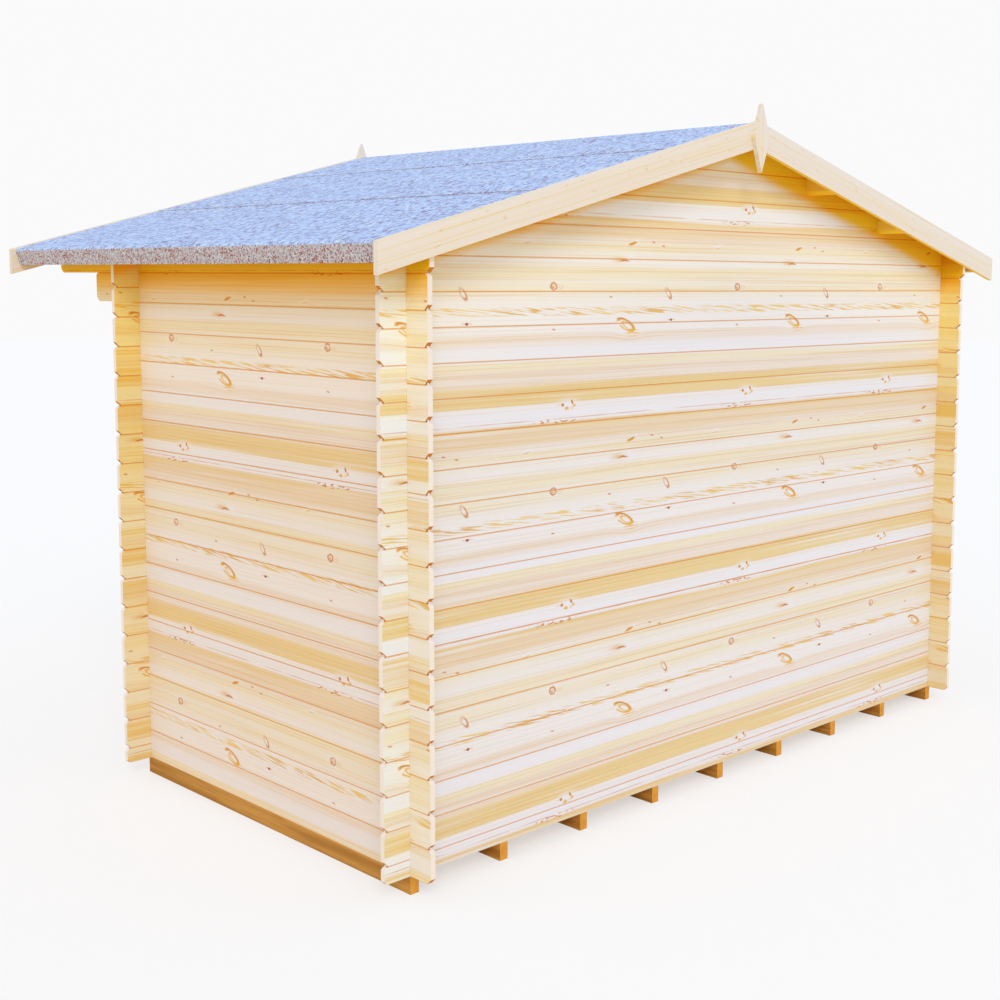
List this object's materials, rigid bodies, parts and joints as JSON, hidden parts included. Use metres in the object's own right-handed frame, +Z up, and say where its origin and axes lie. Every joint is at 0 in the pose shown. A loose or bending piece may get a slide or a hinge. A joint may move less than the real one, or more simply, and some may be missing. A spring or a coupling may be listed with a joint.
{
  "type": "log cabin",
  "caption": "Garden log cabin of interlocking logs on bearers, with a shallow felted gable roof, bargeboards, diamond finials, and a canopy over its double door.",
  "frame": {"origin": "on the ground, at the middle of the whole outline, halfway between the tips of the two roof ends", "axes": "+X along the gables, to the right when the plain back gable is faced; +Y from the back gable to the door; +Z up"},
  "size_m": [3.586, 2.487, 2.6435],
  "materials": {
    "logs": "planed pale spruce with orange knots, unpainted",
    "trim": "planed pale spruce boards",
    "boards": "tongued and grooved spruce boards",
    "treated_timber": "sawn and pressure treated, golden brown",
    "felt": "roofing felt with blue-grey mineral grains",
    "joinery": "planed spruce door and frame",
    "ironmongery": "zinc plated"
  },
  "bodies": {
    "root": {"bearers": "treated_timber", "floor": "boards", "left_wall_odd_logs": "logs", "left_wall_even_logs": "logs", "left_eaves_log": "logs", "right_wall_odd_logs": "logs", "right_wall_even_logs": "logs", "right_eaves_log": "logs", "back_wall_odd_logs": "logs", "back_wall_even_logs": "logs", "back_gable_odd_logs": "logs", "back_gable_even_logs": "logs", "front_wall_odd_logs": "logs", "front_wall_even_logs": "logs", "front_gable_odd_logs": "logs", "front_gable_even_logs": "logs", "ridge_purlin": "boards", "left_upper_purlin": "boards", "left_lower_purlin": "boards", "right_upper_purlin": "boards", "right_lower_purlin": "boards", "left_roof_boards": "boards", "right_roof_boards": "boards", "left_eaves_board": "trim", "right_eaves_board": "trim", "left_lower_felt": "felt", "left_upper_felt": "felt", "right_lower_felt": "felt", "right_upper_felt": "felt", "ridge_felt": "felt", "back_left_bargeboard": "trim", "back_right_bargeboard": "trim", "front_left_bargeboard": "trim", "front_right_bargeboard": "trim", "back_finial": "trim", "front_finial": "trim", "door_left_jamb": "joinery", "door_right_jamb": "joinery", "door_head": "joinery", "door_threshold": "joinery", "left_door": "joinery", "right_door": "joinery", "door_hinges": "ironmongery"}
  },
  "joints": []
}
